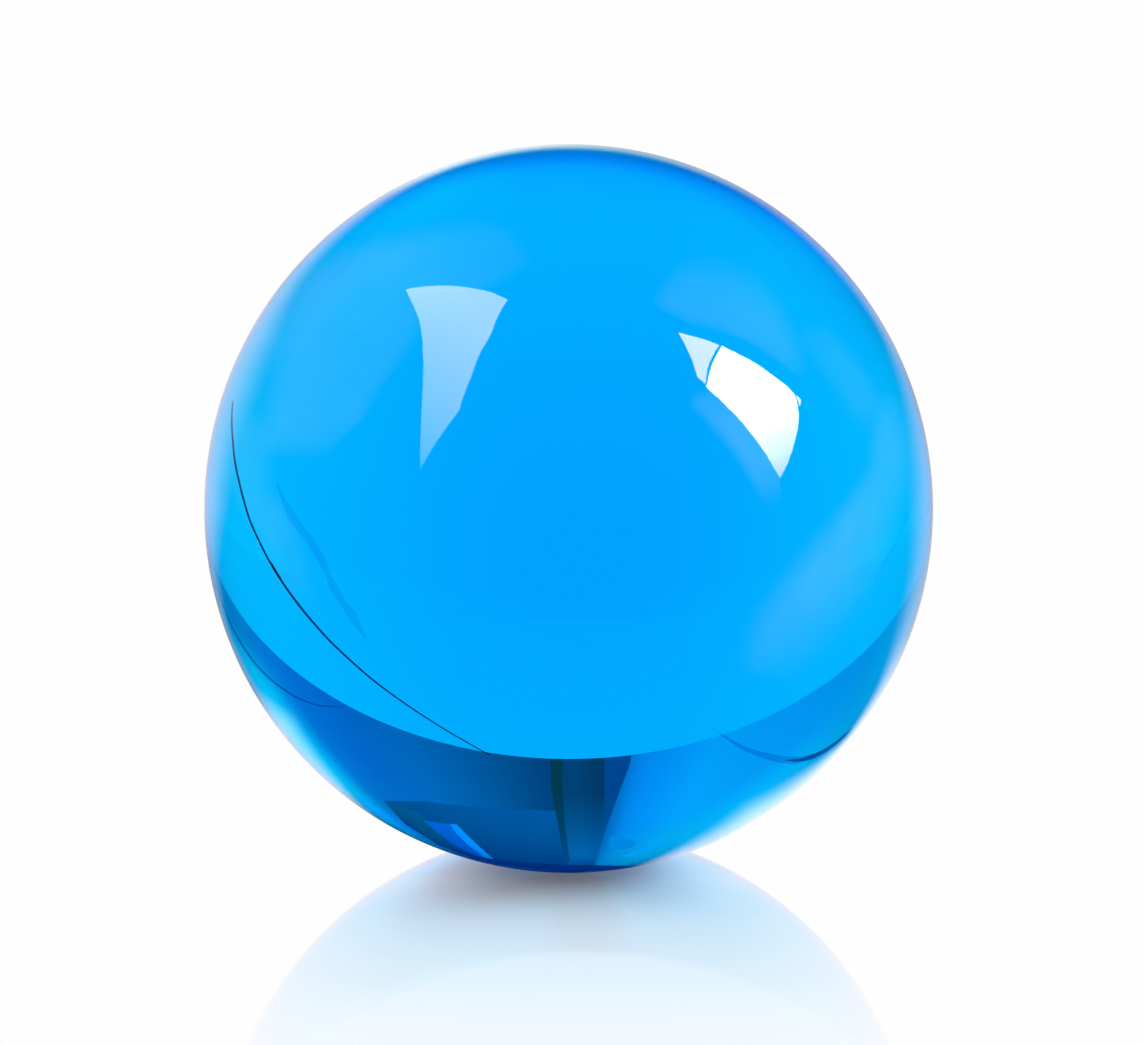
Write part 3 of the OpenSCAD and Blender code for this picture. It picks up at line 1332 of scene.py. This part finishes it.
# %% The painted reflection at the ball's rim, in place of the far sheet
BALL_PIXELS = 364.4
RIM_REACH = 40.0
RIM = [
    (-180, 0.75, 22),
    (-170, 0.38, 10.5),
    (-160, 0.30, 5.5),
    (-150, 0.30, 7),
    (-143, 0.85, 20),
    (-130, 0.82, 9.5),
    (-124, 0.30, 4),
    (-120, 0.00, 2),
    (-80, 0.00, 2),
    (-72, 0.90, 10),
    (-68, 1.05, 13.5),
    (-59, 1.42, 21),
    (-50, 1.35, 15),
    (-40, 1.35, 6.5),
    (-30, 1.10, 9.5),
    (-20, 0.64, 16),
    (-10, 0.62, 19),
    (0, 0.58, 22),
    (10, 0.55, 19),
    (20, 0.45, 13),
    (30, 0.54, 8.5),
    (40, 0.44, 9),
    (60, 0.44, 7.3),
    (80, 0.62, 6.5),
    (95, 1.05, 6.5),
    (110, 1.10, 7),
    (120, 0.78, 9),
    (130, 0.70, 12),
    (140, 0.62, 16),
    (150, 0.80, 27),
    (160, 0.77, 31),
    (180, 0.75, 22),
]
INSET_NONE, INSET_FULL = 1.5, 0.4
LOW_FROM, LOW_TO = -45.0, -15.0

size = add(tree, "Math", {"operation": "SUBTRACT"}, s_0=1.0, s_1=seen_apart.outputs["Y"])
size = add(tree, "Math", MULTIPLY, s_0=size.outputs[0], s_1=2.0)
size = add(tree, "Math", {"operation": "INVERSE_SQRT"}, s_0=size.outputs[0]).outputs[0]
spot = add(tree, "CombineXYZ", s_0=seen_apart.outputs["X"], s_1=seen_apart.outputs["Z"])
spot = add(tree, "VectorMath", {"operation": "SCALE"}, s_0=spot.outputs[0], Scale=size).outputs[0]
away = add(tree, "VectorMath", {"operation": "LENGTH"}, s_0=spot)
inset = add(
    tree,
    "MapRange",
    Value=away.outputs["Value"],
    From_Min=1.0,
    From_Max=0.0,
    To_Max=BALL_PIXELS,
)
around = add(tree, "SeparateXYZ", s_0=spot).outputs
around = add(tree, "Math", {"operation": "ARCTAN2"}, s_0=around["Y"], s_1=around["X"])
around = add(tree, "MapRange", Value=around.outputs[0], From_Min=-math.pi, From_Max=math.pi)
stops = [(a / 360 + 0.5, light, reach / RIM_REACH) for a, light, reach in RIM]
rim = set_stops(add(tree, "ValToRGB", s_0=around.outputs[0]), stops)
rim = add(tree, "SeparateColor", s_0=rim).outputs
reach = add(tree, "Math", MULTIPLY, s_0=rim["Blue"], s_1=RIM_REACH).outputs[0]
inset = add(tree, "Math", {"operation": "DIVIDE"}, s_0=inset.outputs[0], s_1=reach)
inset = add(
    tree,
    "MapRange",
    {"interpolation_type": "SMOOTHSTEP"},
    Value=inset.outputs[0],
    From_Min=INSET_NONE,
    From_Max=INSET_FULL,
)
# The rim's painted reflection: the table's light, where the spot lies close enough to the rim.
painted_rim_reflection = add(tree, "Math", MULTIPLY, s_0=inset.outputs[0], s_1=rim["Green"]).outputs[0]
low_down = add(
    tree,
    "MapRange",
    {"interpolation_type": "SMOOTHSTEP"},
    Value=elevation,
    From_Min=LOW_FROM,
    From_Max=LOW_TO,
    To_Max=WHITE,
)
print("the rim by", len(RIM), "angles, at most", max(reach for _, _, reach in RIM), "pixels wide")

# %% [markdown]
# ## The room put together
# Each kind of ray now gets its own light from the world: white for the camera and
# the sheet, the painted rim reflection for the ball's mirror image, the walls for
# the view through the glass, and the ceiling for that view by way of the sheet.

# %% The world's light
found = light_for(
    tree,
    camera=WHITE,
    ball_mirror=painted_rim_reflection,
    second_mirror=low_down.outputs[0],
    sheet_mirror=WHITE,
    through=room.outputs[2],
    mirror_through=ceiling.outputs[2],
)
background = add(tree, "Background", Color=found)
output = add(tree, "OutputWorld")
tree.links.new(background.outputs[0], output.inputs["Surface"])
print(len(tree.nodes), "nodes in the world")

# %% [markdown]
# ## Colours as they are
# The Standard view shows a colour as it is written, with no film look over it. The
# ball must be as large as its CAD node and no larger.

# %% The view
bpy.context.scene.view_settings.view_transform = "Standard"
